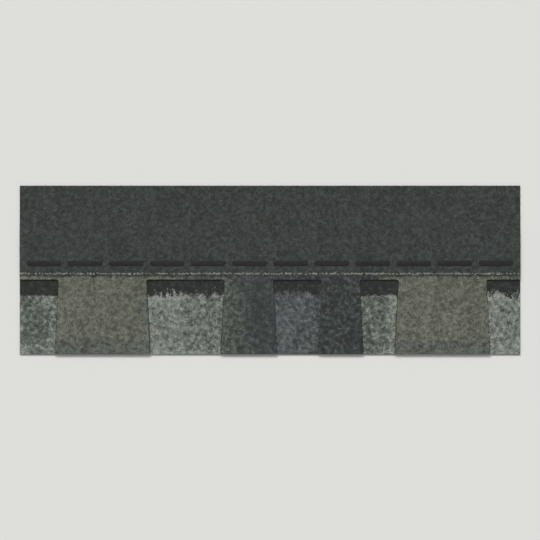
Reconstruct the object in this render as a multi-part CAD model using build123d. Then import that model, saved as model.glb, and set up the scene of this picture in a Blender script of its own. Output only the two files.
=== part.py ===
"""One laminated asphalt shingle, lying face up on a level floor.

Two plies of glass felt soaked and coated in asphalt. The top ply is the full height of the shingle and
its lower edge is die-cut into flared teeth. The backer ply is a narrower strip glued under the teeth,
which shows in the cut-outs between them. Behind the backer the headlap has nothing under it, so it
bends down by the backer's thickness and its top edge lies on the floor.

X runs along the eaves, Y up the roof from the butt edge to the top edge, and Z out of the face.
The origin is the centre of the footprint, on the floor. Sizes are in millimetres.
"""

import math
import os

from build123d import *

# The sheet
shingle_length = 1000.0
shingle_height = 337.0
exposure = 143.0  # stays in view when the next course is laid
top_ply_thickness = 2.5
backer_thickness = 2.5

# The teeth. The rotary die cuts the same three teeth again and again, and each shingle is one length
# of that pattern. Each pair is a cut-out and the tooth after it, both measured along the tooth roots.
die_pattern = [(78.0, 175.0), (156.0, 97.0), (98.0, 75.0)]
root_cover = 6.0  # the cut-outs run this far up under the next course
tooth_flare = 8.0  # each side of a tooth spreads by this much from root to tip
root_radius = 4.0
tip_radius = 2.0

# The backer reaches this far above the tooth roots. Nails go through both plies here.
common_bond = 24.0

# The headlap's bend down to the floor
level_run = 40.0  # from the backer's top edge to where the bend starts
landing = 40.0  # the strip along the top edge that lies on the floor

# The dashes of heat-activated sealant on the face, which grip the next course
dash_length = 70.0
dash_width = 12.0
dash_height = 1.0
dash_gap = 12.0
dash_crown = 0.6  # radius of the rounded upper edge
dash_setback = 3.0  # above the backer's top edge

# The polyester film on the back, which keeps sealant from sticking to it in a bundle
film_width = 30.0
film_thickness = 0.1
film_setback = 5.0  # above the backer's top edge

# Levels up the roof, from the butt edge to the top edge
front = -shingle_height / 2
roots = front + exposure + root_cover
backer_top = roots + common_bond
bend_start = backer_top + level_run
back = shingle_height / 2
bend_end = back - landing

# The bend is two equal arcs, one turning down and one turning back to level
bend_run = bend_end - bend_start
bend_radius = (bend_run**2 + backer_thickness**2) / (4 * backer_thickness)
bend_turn = math.asin(bend_run / 2 / bend_radius)

# A cutting tool reaches this far past whatever it cuts through
clear = 20.0


def draped_line(height):
    """The edges that the top ply's layer at this height above its underside follows, seen from the end."""
    level = backer_thickness + height
    radius = bend_radius + height
    middle = (bend_start + radius * math.sin(bend_turn), level - radius * (1 - math.cos(bend_turn)))
    turning_down = TangentArc((bend_start, level), middle, tangent=(1, 0))
    turning_back = TangentArc(middle, (bend_end, height), tangent=turning_down % 1)
    return [
        Line((front, level), (bend_start, level)),
        turning_down,
        turning_back,
        Line((bend_end, height), (back, height)),
    ]


def draped_layer(lower, upper):
    """The full-size slab between two heights above the top ply's underside, bent as the ply is."""
    under, over = draped_line(lower), draped_line(upper)
    butt_edge = Line(under[0] @ 0, over[0] @ 0)
    top_edge = Line(under[-1] @ 1, over[-1] @ 1)
    profile = make_face([*under, top_edge, *over, butt_edge])
    return extrude(Plane.YZ * profile, shingle_length / 2, both=True)


def through(outline):
    """A tall prism on a plan outline, to cut a draped layer to shape."""
    height = backer_thickness + top_ply_thickness + dash_height + clear
    return Pos(0, 0, -clear) * extrude(outline, height + clear)


def cutouts():
    """The left and right ends, along the tooth roots, of every cut-out between the shingle's ends."""
    left_end, right_end = -shingle_length / 2, shingle_length / 2
    found = []
    left, tooth_root = left_end - clear, left_end
    while tooth_root < right_end:
        for gap, tooth in die_pattern:
            right = tooth_root + gap
            if left < right_end:
                found.append((left, min(right, right_end + clear)))
            left = tooth_root = right + tooth
    return found


def cutout_outline(left, right):
    """One cut-out in plan: widest along the tooth roots, and narrowed by the flare at the butt edge."""
    depth = roots - front
    narrowing = tooth_flare * (depth + clear) / depth
    corners = [
        (left, roots),
        (right, roots),
        (right - narrowing, front - clear),
        (left + narrowing, front - clear),
    ]
    return Polygon(*corners, align=None)


def toothed_outline():
    """The top ply in plan, with its root and tip corners eased as the die leaves them."""
    outline = Rectangle(shingle_length, shingle_height)
    for left, right in cutouts():
        outline -= cutout_outline(left, right)
    inside = outline.vertices().filter_by(lambda v: abs(v.X) < shingle_length / 2 - tip_radius)
    outline = fillet([v for v in inside if abs(v.Y - roots) < 0.01], root_radius)
    tips = outline.vertices().filter_by(lambda v: abs(v.X) < shingle_length / 2 - tip_radius)
    return fillet([v for v in tips if abs(v.Y - front) < 0.01], tip_radius)


def top_ply():
    return draped_layer(0, top_ply_thickness) & through(toothed_outline())


def backer_ply():
    strip = Rectangle(shingle_length, backer_top - front)
    return Pos(0, (front + backer_top) / 2, 0) * extrude(strip, backer_thickness)


def sealant_dashes():
    """A row of round-ended beads on the face, centred on the shingle's length."""
    pitch = dash_length + dash_gap
    count = int((shingle_length - dash_gap) // pitch)
    middle = backer_top + dash_setback + dash_width / 2
    bead = Pos(0, 0, backer_thickness + top_ply_thickness) * extrude(
        SlotOverall(dash_length, dash_width), dash_height
    )
    bead = fillet(bead.edges().group_by(Axis.Z)[-1], dash_crown)
    return Compound([Pos(0, middle, 0) * place * bead for place in GridLocations(pitch, 0, count, 1)])


def release_film():
    """A strip stuck along the back, just above the backer."""
    lower = backer_top + film_setback
    strip = Pos(0, lower + film_width / 2) * Rectangle(shingle_length, film_width)
    return draped_layer(-film_thickness, 0) & through(strip)


os.makedirs("parts", exist_ok=True)
export_step(top_ply(), "parts/top_ply.step")
export_step(backer_ply(), "parts/backer_ply.step")
export_step(sealant_dashes(), "parts/sealant_dashes.step")
export_step(release_film(), "parts/release_film.step")
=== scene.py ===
# One laminated asphalt shingle lying on a pale studio floor, seen from straight above.
import math

import bpy
import numpy as np
from mathutils import Euler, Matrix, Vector, noise
from mathutils.bvhtree import BVHTree


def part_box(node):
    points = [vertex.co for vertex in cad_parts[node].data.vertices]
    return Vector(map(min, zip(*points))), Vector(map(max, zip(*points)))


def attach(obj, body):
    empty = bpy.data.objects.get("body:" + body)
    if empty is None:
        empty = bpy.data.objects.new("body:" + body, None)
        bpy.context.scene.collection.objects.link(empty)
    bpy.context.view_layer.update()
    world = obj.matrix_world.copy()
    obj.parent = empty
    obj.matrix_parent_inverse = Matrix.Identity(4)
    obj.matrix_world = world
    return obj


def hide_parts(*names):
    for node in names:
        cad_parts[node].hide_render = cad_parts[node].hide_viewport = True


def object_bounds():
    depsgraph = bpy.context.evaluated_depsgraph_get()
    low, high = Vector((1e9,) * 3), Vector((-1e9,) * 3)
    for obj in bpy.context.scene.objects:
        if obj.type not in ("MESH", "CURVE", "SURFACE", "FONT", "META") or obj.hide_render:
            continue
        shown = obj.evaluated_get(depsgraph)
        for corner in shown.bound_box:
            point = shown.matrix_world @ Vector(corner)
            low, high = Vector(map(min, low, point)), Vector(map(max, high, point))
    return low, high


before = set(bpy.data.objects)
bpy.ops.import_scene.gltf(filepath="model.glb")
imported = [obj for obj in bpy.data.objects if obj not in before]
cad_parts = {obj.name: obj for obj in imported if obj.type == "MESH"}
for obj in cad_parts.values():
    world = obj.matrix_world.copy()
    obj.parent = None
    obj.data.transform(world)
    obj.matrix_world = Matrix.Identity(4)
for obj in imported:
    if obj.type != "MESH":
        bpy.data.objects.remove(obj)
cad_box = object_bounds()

# The backer ply
# The strip under the teeth that shows in the cut-outs: a mat of glass fibre, soaked and coated in asphalt
# full of limestone dust. Its back is sanded while hot, and a knife leaves the layers bare at its edges.
MM = 0.001
coating_black = "#1b1b1a"
coating_grey = "#2b2a28"  # where the limestone dust comes through
felt_black = "#171615"
felt_brown = "#4a4339"  # fibres drawn out by the knife
sand_pale = "#8a857a"
coating_patch = 9 * MM
felt_layer = 0.6 * MM
felt_streak = 14 * MM
sand_grain = 1.1 * MM  # the real sand is 0.4 mm, too fine to show, so it is drawn coarser
sand_relief = 0.15 * MM


def linear(hex_colour):
    """The linear RGBA of an sRGB hex colour."""
    channels = [int(hex_colour[i:i + 2], 16) / 255 for i in (1, 3, 5)]
    return [c / 12.92 if c < 0.04045 else ((c + 0.055) / 1.055) ** 2.4 for c in channels] + [1.0]


def add(owner, kind, inputs={}, **settings):
    """Adds a node to a material or world. An input takes a plain value, or another node's output.

    Inputs go by name, or by number where names repeat: a Mix node blends colours 6 and 7 by its input 0.
    """
    made = owner.node_tree.nodes.new(kind)
    for name, value in settings.items():
        setattr(made, name, value)
    for key, value in inputs.items():
        if isinstance(value, bpy.types.NodeSocket):
            owner.node_tree.links.new(value, made.inputs[key])
        else:
            made.inputs[key].default_value = value
    return made


def blank_material(name):
    material = bpy.data.materials.new(name)
    material.use_nodes = True
    material.node_tree.nodes.clear()
    return material


def coated_felt():
    """Matt black, with greyish clouds on the face, pale specks of sand on the back and streaky edges."""
    material = blank_material("asphalt_coated_felt_sanded_back")
    place = add(material, "ShaderNodeTexCoord").outputs["Object"]
    normal = add(material, "ShaderNodeNewGeometry").outputs["Normal"]
    upward = add(material, "ShaderNodeSeparateXYZ", {0: normal}).outputs["Z"]
    clouds = add(material, "ShaderNodeTexNoise", {
        "Vector": place, "Scale": 1 / coating_patch, "Detail": 6.0}).outputs["Fac"]
    face = add(material, "ShaderNodeMix", {
        0: clouds, 6: linear(coating_black), 7: linear(coating_grey)}, data_type="RGBA").outputs[2]
    grains = add(material, "ShaderNodeTexVoronoi", {
        "Vector": place, "Scale": 1 / sand_grain}).outputs["Distance"]
    specks = add(material, "ShaderNodeMapRange", {
        "Value": grains, "From Min": 0.45, "From Max": 0.2, "To Max": 0.8}).outputs["Result"]
    back = add(material, "ShaderNodeMix", {
        0: specks, 6: linear(coating_black), 7: linear(sand_pale)}, data_type="RGBA").outputs[2]
    stretched = add(material, "ShaderNodeVectorMath", {
        0: place, 1: (1 / felt_streak, 1 / felt_streak, 1 / felt_layer)}, operation="MULTIPLY").outputs[0]
    fibres = add(material, "ShaderNodeTexNoise", {
        "Vector": stretched, "Scale": 1.0, "Detail": 3.0}).outputs["Fac"]
    drawn_out = add(material, "ShaderNodeMapRange", {
        "Value": fibres, "From Min": 0.5, "From Max": 0.7}).outputs["Result"]
    edge = add(material, "ShaderNodeMix", {
        0: drawn_out, 6: linear(felt_black), 7: linear(felt_brown)}, data_type="RGBA").outputs[2]
    is_back = add(material, "ShaderNodeMath", {0: upward, 1: -0.5}, operation="LESS_THAN").outputs[0]
    is_face = add(material, "ShaderNodeMath", {0: upward, 1: 0.5}, operation="GREATER_THAN").outputs[0]
    edge_or_back = add(material, "ShaderNodeMix", {
        0: is_back, 6: edge, 7: back}, data_type="RGBA").outputs[2]
    colour = add(material, "ShaderNodeMix", {
        0: is_face, 6: edge_or_back, 7: face}, data_type="RGBA").outputs[2]
    roughness = add(material, "ShaderNodeMapRange", {
        "Value": clouds, "To Min": 0.5, "To Max": 0.9}).outputs["Result"]
    pits = add(material, "ShaderNodeTexNoise", {
        "Vector": place, "Scale": 1 / sand_grain, "Detail": 2.0}).outputs["Fac"]
    bump = add(material, "ShaderNodeBump", {"Height": pits, "Distance": sand_relief}).outputs["Normal"]
    shader = add(material, "ShaderNodeBsdfPrincipled", {
        "Base Color": colour, "IOR": 1.5, "Roughness": roughness, "Normal": bump})
    add(material, "ShaderNodeOutputMaterial", {"Surface": shader.outputs[0]})
    return material


felt = coated_felt()
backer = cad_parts["backer_ply"]
backer.data.materials.clear()
backer.data.materials.append(felt)

# The granules in the cut-outs
# Crushed rock with a coloured ceramic coat fired on, dropped on the backer's hot asphalt and pressed half
# in. Each cut-out has one blend of colours, under a dark band of granules that looks like the next
# course's shadow; the band is made a little darker still, as painted shade from that course.
grain_spacing = 1.1 * MM  # least distance between two granules
grain_width = 1.7 * MM  # the real ones are 0.8 to 1.7 mm, too many to model, so all are drawn coarse
grain_sink = 0.2 * MM
grain_rise = 0.4 * MM
grain_sizes = (0.75, 1.2)
grain_foot = 1.3  # how much wider a granule is in the asphalt than at its top
corner_turn = 0.3  # how far a corner strays around its granule, in radians
corner_reach = (0.85, 1.15)
corner_rise = (0.5, 1.3)
edge_room = 0.7 * MM  # from the middle of a granule to the cut edge that it stands at
coat_grit = 0.5 * MM
coat_relief = 0.05 * MM
clump = (7.5 * MM, 7.5 * MM)  # like colours gather in clumps about this size
clumping = 1.0
drift = (24 * MM, 110 * MM)  # and in broad streaks up the roof
noise_turn = (0.7, 0.55, 1.1)  # radians: cut on a slant, the noise doesn't show its own lattice
grain_colours = {
    "jet": "#181d1b",
    "pitch": "#222725",
    "ink": "#242a29",
    "coal": "#2f3532",
    "lead": "#303635",
    "fern": "#3c433b",
    "charcoal": "#3d4342",
    "slate": "#494f4f",
    "moss": "#4b5147",
    "umber": "#57594c",
    "iron": "#585e58",
    "flint": "#585e5e",
    "steel": "#616868",
    "drab": "#6b6d60",
    "pewter": "#666d66",
    "putty": "#6b6f62",
    "fog": "#767d7c",
    "stone": "#777e76",
    "clay": "#7d8173",
    "fawn": "#868677",
    "ash": "#8c938a",
    "silver": "#a5aca2",
}
exposure = 143 * MM
# The die's cut-outs, which repeat: the parts of each one's blend, how strong its streaks are, how much
# lighter it gets from left to right, towards both ends and towards both sides, how far its dark band
# reaches down from the exposure line, and how wide that band's ragged edge is
cutout_drops = [
    dict(blend={"fern": 2, "iron": 5, "pewter": 6, "stone": 4, "ash": 3, "silver": 1},
         streaks=0.5, to_right=0.3, to_ends=0.9, to_sides=0.9, band=26 * MM, band_edge=2.5 * MM),
    dict(blend={"fern": 1, "iron": 1, "pewter": 4, "stone": 6, "ash": 7, "silver": 2},
         streaks=0.2, to_right=-0.85, to_ends=1.9, to_sides=0.0, band=24.5 * MM, band_edge=8 * MM),
    dict(blend={"lead": 1, "charcoal": 2, "slate": 4, "flint": 6, "steel": 5, "fog": 3},
         streaks=0.25, to_right=0.0, to_ends=0.0, to_sides=0.0, band=21.5 * MM, band_edge=6 * MM),
]
rim = 10 * MM  # how far in from the ends and sides it is lighter
# The band's dark granules, made darker than the real band's by painted shade from the next course
band_blend_with_painted_shade = {"jet": 5, "pitch": 6, "coal": 3, "fern": 1}
tongue = (9 * MM, 20 * MM)
raggedness = 0.5  # the share of a soft edge's width that runs in tongues; the rest is scattered stones
drop_reach = 6 * MM  # the teeth's colours run this far up above the roots
drop_fade = 3 * MM  # and have all stopped this far above that
corner_room = 5 * MM  # clear of the teeth's rounded corners
sight_step = 0.25 * MM
packing_rounds = 9

butt_edge, top_edge = cad_box[0].y, cad_box[1].y
left_end, right_end = cad_box[0].x, cad_box[1].x
trees = {}
for node in ("top_ply", "sealant_dashes"):
    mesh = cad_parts[node].data
    trees[node] = BVHTree.FromPolygons([v.co for v in mesh.vertices], [p.vertices for p in mesh.polygons])


def height_of(node, x, y):
    """The height of the node's top above the floor at x, y, or None where it isn't."""
    met = trees[node].ray_cast(Vector((x, y, 1.0)), Vector((0.0, 0.0, -1.0)))[0]
    return met.z if met else None


def stretches(node, y):
    """Where the node lies along the shingle at y, as pairs of left and right ends."""
    xs = np.arange(left_end + sight_step / 2, right_end, sight_step)
    there = np.array([height_of(node, x, y) is not None for x in xs])
    ends = np.flatnonzero(np.diff(np.concatenate([[False], there, [False]]).astype(int)))
    return (left_end + ends * sight_step).reshape(-1, 2)


def scattered(low, high, spacing, rng):
    """Random points over a rectangle, none nearer another than the spacing.

    A cell of the grid holds one point at most. In each round every free cell tries a new point, and of
    the points that clash the one with the highest rank stays. The spacing is the square root of 2 cells.
    """
    cell = spacing / math.sqrt(2)
    shape = [int((end - start) / cell) + 1 for start, end in zip(low, high)]
    corner = np.stack(np.indices(shape), -1)
    points = np.full((*shape, 2), np.inf)
    steps = [(right, up) for right in range(-2, 3) for up in range(-2, 3) if right or up]
    for _ in range(packing_rounds):
        trial = corner + rng.random(points.shape)
        rank = np.where(np.isinf(points[..., 0]), rng.random(shape), 0.0)
        clash = rank == 0
        for step in steps:
            clash |= ((trial - np.roll(points, step, (0, 1))) ** 2).sum(-1) < 2
            rival = ((trial - np.roll(trial, step, (0, 1))) ** 2).sum(-1) < 2
            clash |= rival & (np.roll(rank, step, (0, 1)) > rank)
        points[~clash] = trial[~clash]
    points = np.array(low) + points[np.isfinite(points[..., 0])] * cell
    return points[(points < high).all(1)]


def probes(spot, room):
    """The spot and four more, as far away on each side as the room."""
    x, y = spot
    return [(x, y), (x - room, y), (x + room, y), (x, y - room), (x, y + room)]


def mottle(points, size):
    """Smooth random waves of this length and height, with a spread of one, different on each ply."""
    turn = np.array(Euler(noise_turn).to_matrix())
    waves = np.array([noise.noise(place) for place in (points / (*size, MM)) @ turn])
    return (waves - waves.mean()) / waves.std()


def soft_edge(points, width, rng):
    """How far each granule strays across a soft edge between two blends."""
    return width * (raggedness * mottle(points, tongue) + (1 - raggedness) * rng.normal(size=len(points)))


def ceramic_granule(name, colour):
    """Matt with a weak gloss, as a dusty fired coat on broken rock is. Each stone is of one colour."""
    material = blank_material(name)
    place = add(material, "ShaderNodeTexCoord").outputs["Object"]
    grit = add(material, "ShaderNodeTexNoise", {
        "Vector": place, "Scale": 1 / coat_grit, "Detail": 2.0}).outputs["Fac"]
    roughness = add(material, "ShaderNodeMapRange", {
        "Value": grit, "To Min": 0.55, "To Max": 0.85}).outputs["Result"]
    bump = add(material, "ShaderNodeBump", {"Height": grit, "Distance": coat_relief}).outputs["Normal"]
    shader = add(material, "ShaderNodeBsdfPrincipled", {
        "Base Color": linear(colour), "IOR": 1.5, "Specular IOR Level": 0.33, "Roughness": roughness,
        "Normal": bump})
    add(material, "ShaderNodeOutputMaterial", {"Surface": shader.outputs[0]})
    return material


grain_materials = [ceramic_granule("crushed_rock_ceramic_coat_" + name, colour)
                   for name, colour in grain_colours.items()]


def dropped(points, blend, streaks, lighter, rng):
    """Where each granule's colour stands in grain_colours, in the blend's parts, clumped as they fell."""
    score = clumping * mottle(points, clump) + streaks * mottle(points, drift)
    score = score + rng.normal(size=len(points))
    spread = math.sqrt(2 * (clumping ** 2 + streaks ** 2 + 1))
    rank = [(1 + math.erf(each / spread)) / 2 for each in score + lighter]
    parts = np.cumsum([blend.get(name, 0) for name in grain_colours])
    return np.searchsorted(parts / parts[-1], rank)


def granules(name, points, colours, rng, scale=1.0):
    """One joined mesh of broken stones: three corners of each in the asphalt and three standing out."""
    count = len(points)
    corner = np.arange(6)
    all_corners = (count, len(corner))
    sunk = corner % 2 == 0
    turn = rng.uniform(0, 2 * math.pi, (count, 1)) + corner * 2 * math.pi / len(corner)
    turn += rng.uniform(-corner_turn, corner_turn, all_corners)
    reach = scale * grain_width / 2 * rng.uniform(*grain_sizes, (count, 1))
    reach = reach * np.where(sunk, grain_foot, 1.0) * rng.uniform(*corner_reach, all_corners)
    rise = np.where(sunk, -grain_sink, grain_rise * rng.uniform(*corner_rise, all_corners))
    corners = np.stack([reach * np.cos(turn), reach * np.sin(turn), rise], -1) + points[:, None, :]
    foot, top = (4, 2, 0), (1, 3, 5)
    sides = [(0, 2, 1), (1, 2, 3), (2, 4, 3), (3, 4, 5), (4, 0, 5), (5, 0, 1)]
    stone = np.array([foot, *sides, top])
    faces = (stone[:, None, :] + np.arange(count)[:, None] * len(corner)).reshape(-1, 3)
    mesh = bpy.data.meshes.new(name)
    mesh.from_pydata(corners.reshape(-1, 3), [], faces)
    used, colours = np.unique(colours, return_inverse=True)
    for colour in used:
        mesh.materials.append(grain_materials[colour])
    mesh.polygons.foreach_set("material_index", np.tile(colours, len(stone)).astype(np.int32))
    is_top = np.arange(len(faces)) >= len(faces) - count
    mesh.polygons.foreach_set("use_smooth", ~is_top)  # only the tops are flat facets
    plan = corners.reshape(-1, 3)[faces.ravel(), :2]
    plan = (plan - plan.min(0)) / (plan.max(0) - plan.min(0)).max()
    mesh.uv_layers.new(name="OFBake").data.foreach_set("uv", plan.ravel())
    piece = bpy.data.objects.new(name, mesh)
    bpy.context.scene.collection.objects.link(piece)
    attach(piece, "root")


# There is a cut-out between every two teeth and one at each end of the shingle
teeth = stretches("top_ply", butt_edge + corner_room)
tooth_ends = [left_end, *teeth.ravel(), right_end]
cutouts = [(tooth_ends[i], tooth_ends[i + 1]) for i in range(0, len(tooth_ends), 2)]
roots = next(y for y in np.arange(butt_edge, top_edge, sight_step)
             if height_of("top_ply", sum(cutouts[0]) / 2, y) is not None)
# A cut-out widens up the roof: each of its sides moves out by this much for each metre up
near_roots = stretches("top_ply", roots - corner_room)
tooth_slope = (near_roots[0][0] - teeth[0][0]) / (roots - butt_edge - 2 * corner_room)
drop_top = roots + drop_reach
headlap_start = drop_top + drop_fade

rng = np.random.default_rng(seed=1)
spots = scattered((left_end + edge_room, butt_edge + edge_room), (right_end - edge_room, headlap_start),
                  grain_spacing, rng)
over = [[height_of("top_ply", x, y) for x, y in probes(spot, edge_room)] for spot in spots]
on_tooth = np.array([None not in found for found in over])
in_cutout = np.array([set(found) == {None} for found in over])
middles = [left_end, *[(left + right) / 2 for left, right in teeth], right_end]

backer_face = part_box("backer_ply")[1].z
for i, (left, right) in enumerate(cutouts):
    drop = cutout_drops[i % len(cutout_drops)]
    first_left, first_right = cutouts[i % len(cutout_drops)]  # the last cut-out is a part of this one
    here = spots[in_cutout & (spots[:, 0] > middles[i]) & (spots[:, 0] < middles[i + 1])]
    points = np.column_stack([here, np.full(len(here), backer_face)])
    across = 2 * (here[:, 0] - left) / (first_right - first_left) - 1
    up = here[:, 1] - butt_edge
    band_start = exposure - drop["band"]
    from_end = np.minimum(up, np.abs(band_start - up))
    from_side = np.minimum(here[:, 0] - left, right - here[:, 0]) + tooth_slope * up
    lighter = drop["to_right"] * across + drop["to_ends"] * np.exp(-from_end / rim)
    lighter += drop["to_sides"] * np.exp(-from_side / rim)
    colours = dropped(points, drop["blend"], drop["streaks"], lighter, rng)
    in_band = up > band_start + soft_edge(points, drop["band_edge"], rng)
    # The band's granules take their own dark colour plus painted shade from the next course
    colours[in_band] = dropped(points[in_band], band_blend_with_painted_shade, 0.0, 0.0, rng)
    granules(f"cutout_granules_{i + 1}", points, colours, rng)

# The top ply
# The same coated felt, full size, draped over the backer. A rotary die cuts its lower edge into teeth
# before it is glued on.
top_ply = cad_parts["top_ply"]
top_ply.data.materials.clear()
top_ply.data.materials.append(felt)

# The granules on the teeth
# The same granules on the top ply, in bands of colour that are dropped across the sheet before the die
# cuts it. A tooth shows one band, or the joint of two, and the bands end a little above the roots.
tooth_streaks = 0.25
brown_blend = {"umber": 4, "pewter": 1, "drab": 5, "putty": 5, "clay": 4, "fawn": 3}
sage_blend = {"moss": 1, "umber": 1, "iron": 3, "drab": 2, "putty": 5, "stone": 3, "clay": 2}
tip_blend = {"fern": 1, "moss": 2, "iron": 5, "pewter": 5, "drab": 2, "putty": 2, "stone": 3}
olive_blend = {"coal": 1, "fern": 4, "moss": 5, "iron": 4, "pewter": 3, "stone": 1}
blue_blend = {"lead": 3, "charcoal": 5, "slate": 4, "steel": 1}
night_blend = {"ink": 4, "lead": 4, "charcoal": 3, "slate": 4, "steel": 1}
headlap_blend = {"pitch": 1, "coal": 5, "fern": 2, "charcoal": 4, "slate": 2}
# The die's teeth, which repeat: each one's blend, how much lighter it gets from left to right, and for
# those that have them, the blend right of a joint, how far across that joint is and how wide its ragged
# edge is, and the blend along the tip
tooth_drops = [
    dict(blend=brown_blend, to_right=0.0, right=sage_blend, joint=0.88, joint_edge=14 * MM,
         tip=tip_blend),
    dict(blend=olive_blend, to_right=-0.1, right=blue_blend, joint=0.42, joint_edge=18 * MM,
         tip=None),
    dict(blend=night_blend, to_right=-0.3, right=None, tip=None),
]
tip_height = 28 * MM
tip_edge = 8 * MM
drop_edge = 1.5 * MM

middles = [left_end, *[(left + right) / 2 for left, right in cutouts[1:-1]], right_end]
points = np.array([(*spot, found[0]) for spot, found, on in zip(spots, over, on_tooth) if on])
for i, (left, right) in enumerate(teeth):
    drop = tooth_drops[i % len(tooth_drops)]
    here = points[(points[:, 0] >= middles[i]) & (points[:, 0] < middles[i + 1])]
    lighter = drop["to_right"] * (2 * (here[:, 0] - left) / (right - left) - 1)
    colours = dropped(here, drop["blend"], tooth_streaks, lighter, rng)
    if drop["right"]:
        joint = left + drop["joint"] * (right - left)
        beyond = here[:, 0] + soft_edge(here, drop["joint_edge"], rng) > joint
        colours[beyond] = dropped(here[beyond], drop["right"], tooth_streaks, lighter[beyond], rng)
    if drop["tip"]:
        low = here[:, 1] + soft_edge(here, tip_edge, rng) < butt_edge + tip_height
        colours[low] = dropped(here[low], drop["tip"], tooth_streaks, 0.0, rng)
    plain = here[:, 1] > drop_top + soft_edge(here, drop_edge, rng)
    colours[plain] = dropped(here[plain], headlap_blend, 0.0, 0.0, rng)
    granules(f"tooth_granules_{i + 1}", here, colours, rng)

# The granules on the headlap
# The next course covers this part, so it gets plain dark granules of a coarser grade. A thin painted
# line along the middle of the bond between the plies shows the roofer where the nails go.
headlap_spacing = 1.6 * MM
coarser = 1.4
headlap_pieces = 4
nail_line = (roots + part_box("backer_ply")[1].y) / 2
nail_line_width = 3.0 * MM
paint_cover = 0.7
marking_white = "#8f918a"

grain_materials.append(ceramic_granule("marking_paint_on_granules", marking_white))
spots = scattered((left_end + edge_room, headlap_start + edge_room),
                  (right_end - edge_room, top_edge - edge_room), headlap_spacing, rng)
points = np.array([(x, y, height_of("top_ply", x, y)) for x, y in spots
                   if height_of("sealant_dashes", x, y) is None])
colours = dropped(points, headlap_blend, tooth_streaks, 0.0, rng)
on_line = np.abs(points[:, 1] - nail_line) < nail_line_width / 2
painted = on_line & (rng.random(len(points)) < paint_cover)
colours[painted] = len(grain_colours)
bounds = np.linspace(left_end, right_end, headlap_pieces + 1)
for i in range(headlap_pieces):
    here = (points[:, 0] >= bounds[i]) & (points[:, 0] < bounds[i + 1])
    granules(f"headlap_granules_{i + 1}", points[here], colours[here], rng, coarser)

# The sealant dashes
# Beads of soft asphalt adhesive, laid hot by a wheel and lumpy from the granules under them. The sun's
# heat glues them to the back of the next course.
bead_stations = 90
bead_section = 12
end_inset = 0.3  # the round ends are cut off this share of a station short, so that they aren't points
crown = 0.9  # the height of a bead's middle, as a share of the sealant's, which leaves room for the lumps
fullness = 0.6  # how square the section's shoulders are: 1 is round and 0 is square
end_slope = 3  # how late a bead's crown falls away into its round ends
bead_wander = 1.0 * MM
wander_length = 12 * MM
lump = 3.4 * MM
lump_height = 0.55 * MM
sealant_black = "#0b0b0c"
sealant_dusty = "#1d1c1b"
dust_patch = 6 * MM
dimple_depth = 0.8 * MM


def sealant():
    """Black, glossy in patches and dull where dust has settled, dimpled by the granules under it."""
    material = blank_material("polymer_asphalt_hot_laid")
    place = add(material, "ShaderNodeTexCoord").outputs["Object"]
    dust = add(material, "ShaderNodeTexNoise", {
        "Vector": place, "Scale": 1 / dust_patch, "Detail": 4.0}).outputs["Fac"]
    colour = add(material, "ShaderNodeMix", {
        0: dust, 6: linear(sealant_black), 7: linear(sealant_dusty)}, data_type="RGBA").outputs[2]
    roughness = add(material, "ShaderNodeMapRange", {
        "Value": dust, "From Min": 0.3, "From Max": 0.7, "To Min": 0.3, "To Max": 0.7}).outputs["Result"]
    dimples = add(material, "ShaderNodeTexNoise", {
        "Vector": place, "Scale": 1 / grain_width, "Detail": 2.0}).outputs["Fac"]
    bump = add(material, "ShaderNodeBump", {
        "Height": dimples, "Distance": dimple_depth}).outputs["Normal"]
    shader = add(material, "ShaderNodeBsdfPrincipled", {
        "Base Color": colour, "IOR": 1.5, "Specular IOR Level": 0.25, "Roughness": roughness,
        "Normal": bump})
    add(material, "ShaderNodeOutputMaterial", {"Surface": shader.outputs[0]})
    return material


def bead(left, right, low, high):
    """The corners and faces of a round-ended bead with a domed section and a flat base.

    Its stations are closer together towards its ends.
    """
    radius, middle = (high.y - low.y) / 2, (high.y + low.y) / 2
    corners = []
    for i in range(bead_stations):
        along = math.cos(math.pi * (1 - (i + end_inset) / (bead_stations - 1 + 2 * end_inset)))
        x = (left + right) / 2 + along * (right - left) / 2
        into_end = max(0.0, radius - min(x - left, right - x)) / radius
        half_width = radius * math.sqrt(1 - into_end ** 2)
        half_width += bead_wander * noise.noise(Vector((x, low.y, low.z)) / wander_length)
        for j in range(bead_section):
            angle = math.pi * j / (bead_section - 1)
            y = middle + half_width * math.cos(angle)
            swell = (high.z - low.z) * crown * math.sin(angle) ** fullness * (1 - into_end ** end_slope)
            lumps = lump_height * noise.noise(Vector((x, y, low.z)) / lump) * math.sin(angle)
            corners.append(Vector((x, y, low.z + max(0.0, swell + lumps))))
    faces = []
    for i in range(bead_stations - 1):
        for j in range(bead_section):
            a, b = i * bead_section + j, i * bead_section + (j + 1) % bead_section
            faces.append((a, a + bead_section, b + bead_section, b))
    faces.append(tuple(range(bead_section)))
    faces.append(tuple(reversed(range(len(corners) - bead_section, len(corners)))))
    return corners, faces


low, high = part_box("sealant_dashes")
corners, faces = [], []
for left, right in stretches("sealant_dashes", (low.y + high.y) / 2):
    new_corners, new_faces = bead(left, right, low, high)
    faces += [tuple(len(corners) + corner for corner in face) for face in new_faces]
    corners += new_corners
mesh = bpy.data.meshes.new("sealant_beads")
mesh.from_pydata(corners, [], faces)
mesh.shade_smooth()
mesh.materials.append(sealant())
beads = bpy.data.objects.new("sealant_beads", mesh)
bpy.context.scene.collection.objects.link(beads)
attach(beads, "root")
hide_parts("sealant_dashes")

# The release film
# A strip of clear polyester stuck along the back, so that the sealant of the shingle below doesn't hold
# in the bundle. Over black asphalt it looks dark and wet, with pale scuffs.
film_dark = "#232427"
film_scuff = "#85888b"
scuff_patch = 12 * MM


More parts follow.
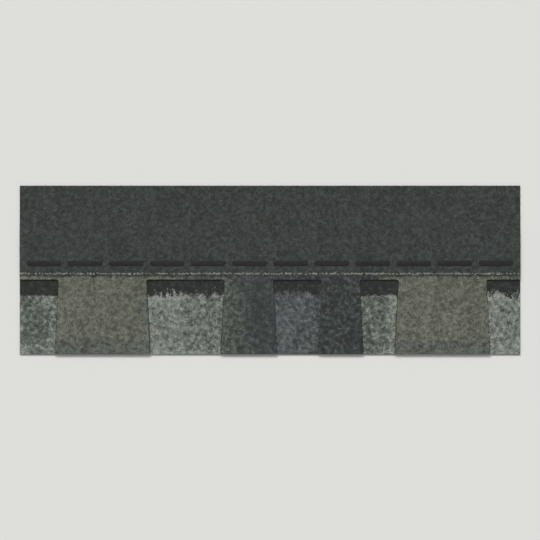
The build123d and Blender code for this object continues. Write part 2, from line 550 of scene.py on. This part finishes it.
def polyester_film():
    """Glossy and dark, with pale dull scuffs from handling."""
    material = blank_material("polyester_film_glossy")
    place = add(material, "ShaderNodeTexCoord").outputs["Object"]
    scuffs = add(material, "ShaderNodeTexNoise", {
        "Vector": place, "Scale": 1 / scuff_patch, "Detail": 8.0}).outputs["Fac"]
    worn = add(material, "ShaderNodeMapRange", {
        "Value": scuffs, "From Min": 0.5, "From Max": 0.75, "To Max": 0.6}).outputs["Result"]
    colour = add(material, "ShaderNodeMix", {
        0: worn, 6: linear(film_dark), 7: linear(film_scuff)}, data_type="RGBA").outputs[2]
    roughness = add(material, "ShaderNodeMapRange", {
        "Value": worn, "To Min": 0.08, "To Max": 0.4}).outputs["Result"]
    shader = add(material, "ShaderNodeBsdfPrincipled", {
        "Base Color": colour, "IOR": 1.57, "Roughness": roughness})
    add(material, "ShaderNodeOutputMaterial", {"Surface": shader.outputs[0]})
    return material


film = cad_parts["release_film"]
film.data.materials.clear()
film.data.materials.append(polyester_film())

# The floor, the light and the camera
# A pale painted floor, one far, wide lamp and a pale room, which together light a level white sheet
# white. The camera looks straight down through a long lens, with the butt edge at the picture's bottom.
floor_pale = "#dededb"
floor_half = 20  # metres
floor_gap = 0.3 * MM
lens = 100  # mm
frame_width = 1.08  # metres across the picture
key_from = Vector((-0.2, 0.75, 0.65)).normalized()
key_width = math.radians(25)
key_share = 0.6
room_share = 1 - key_share
room_pale = "#e6e6e4"

mesh = bpy.data.meshes.new("floor")
mesh.from_pydata([(right * floor_half, up * floor_half, -floor_gap)
                  for right, up in ((-1, -1), (1, -1), (1, 1), (-1, 1))], [], [(0, 1, 2, 3)])
paint = blank_material("floor_paint_matt")
shader = add(paint, "ShaderNodeBsdfDiffuse", {"Color": linear(floor_pale)})
add(paint, "ShaderNodeOutputMaterial", {"Surface": shader.outputs[0]})
mesh.materials.append(paint)
floor = bpy.data.objects.new("floor", mesh)
bpy.context.scene.collection.objects.link(floor)

lamp = bpy.data.lights.new("key", "SUN")
lamp.energy = key_share * math.pi / key_from.z
lamp.angle = key_width
key = bpy.data.objects.new("key", lamp)
key.rotation_euler = key_from.to_track_quat("Z", "Y").to_euler()
bpy.context.scene.collection.objects.link(key)

world = bpy.data.worlds.new("room")
bpy.context.scene.world = world
world.use_nodes = True
world.node_tree.nodes.clear()
light = add(world, "ShaderNodeBackground", {"Color": (1.0, 1.0, 1.0, 1.0), "Strength": room_share})
seen = add(world, "ShaderNodeBackground", {"Color": linear(room_pale), "Strength": 1.0})
path = add(world, "ShaderNodeLightPath")
shown = path.outputs["Is Camera Ray"]
for ray in ("Is Glossy Ray", "Is Transmission Ray"):
    shown = add(world, "ShaderNodeMath", {0: shown, 1: path.outputs[ray]}, operation="ADD").outputs[0]
both = add(world, "ShaderNodeMixShader", {0: shown, 1: light.outputs[0], 2: seen.outputs[0]})
add(world, "ShaderNodeOutputWorld", {"Surface": both.outputs[0]})

camera = bpy.data.cameras.new("camera")
camera.lens = lens
eye = bpy.data.objects.new("camera", camera)
middle = (cad_box[0] + cad_box[1]) / 2
eye.location = (middle.x, middle.y, frame_width * lens / camera.sensor_width)
bpy.context.scene.collection.objects.link(eye)
bpy.context.scene.camera = eye
bpy.context.scene.view_settings.view_transform = "Standard"
